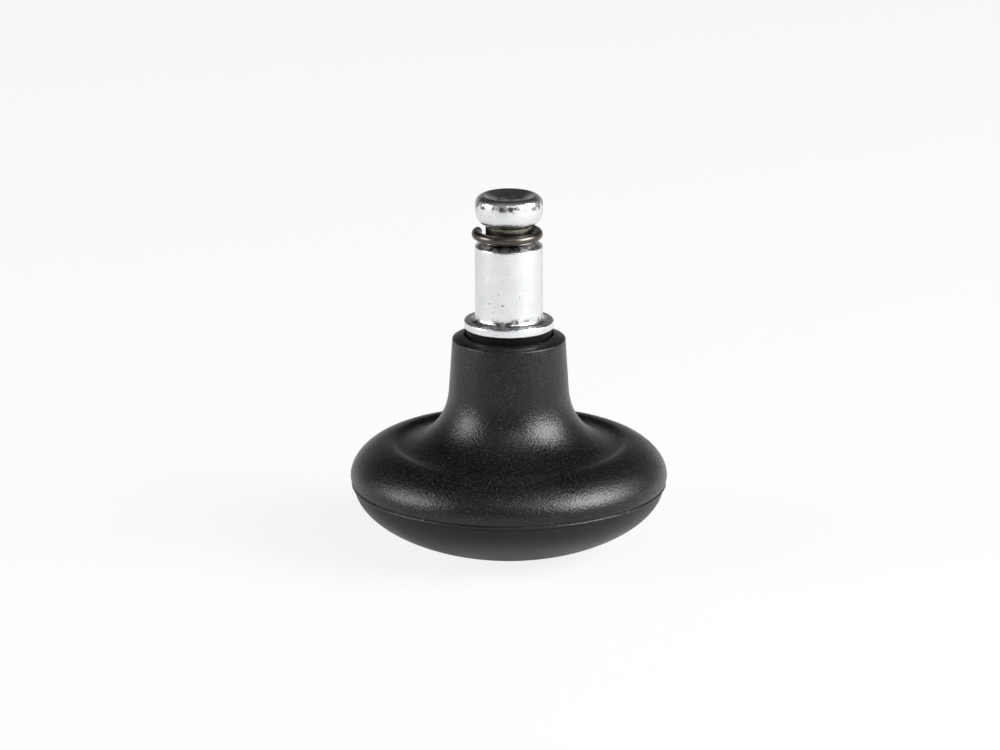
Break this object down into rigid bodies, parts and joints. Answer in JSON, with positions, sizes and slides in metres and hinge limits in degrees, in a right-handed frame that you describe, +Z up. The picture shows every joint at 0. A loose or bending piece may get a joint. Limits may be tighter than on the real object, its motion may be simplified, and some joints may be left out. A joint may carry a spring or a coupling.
{
  "type": "chair bell glide",
  "caption": "Bell-shaped chair glide: a two-piece black plastic bell with a swivelling zinc-plated plug-in stem that carries a split spring grip ring.",
  "frame": {"origin": "where the stem's axis meets the floor, at the centre of the flat patch under the lower moulding", "axes": "+Z up along the stem's axis; the grip ring lies off centre towards -X and its opening is on the -X +Y side"},
  "size_m": [0.0516, 0.0516, 0.0587],
  "materials": {
    "grained_plastic": "fine spark-eroded grain",
    "satin_plastic": "smooth satin",
    "bush_plastic": "smooth",
    "zinc_steel": "bright zinc plate",
    "dark_spring_steel": "oiled black oxide"
  },
  "bodies": {
    "bell": {"bell_housing": "grained_plastic", "glide_sole": "satin_plastic", "stem_bush": "bush_plastic"},
    "stem": {"swivel_stem": "zinc_steel", "retaining_washer": "zinc_steel", "retaining_clip": "dark_spring_steel"},
    "ring": {"grip_ring": "dark_spring_steel"}
  },
  "joints": [
    {"name": "stem_swivel", "type": "hinge", "parent": "bell", "child": "stem", "pos_m": [0, 0, 0.026], "axis": [0, 0, 1], "continuous": true},
    {"name": "ring_float", "type": "slide", "parent": "stem", "child": "ring", "axis": [1, 0, 0], "range_m": [0, 0.00056]}
  ]
}
